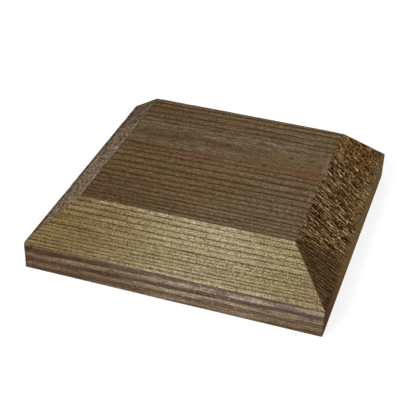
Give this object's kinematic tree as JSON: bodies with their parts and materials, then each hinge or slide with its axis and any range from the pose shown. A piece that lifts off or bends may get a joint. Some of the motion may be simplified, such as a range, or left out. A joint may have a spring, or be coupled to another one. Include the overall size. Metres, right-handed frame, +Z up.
{
  "type": "wooden post cap",
  "caption": "Square wooden post cap: an upright edge, bevels sloping in on every side and a flat top, set over the sawn end of a square post to shed rain.",
  "frame": {"origin": "middle of the flat underside", "axes": "+Z up through the flat top, +X along the grain, +Y across the grain towards the back of the picture's view"},
  "size_m": [0.12, 0.12, 0.028],
  "materials": {
    "timber": "bare sawn softwood, brown and olive, with rough end grain"
  },
  "bodies": {
    "root": {"post_cap": "timber"}
  },
  "joints": []
}
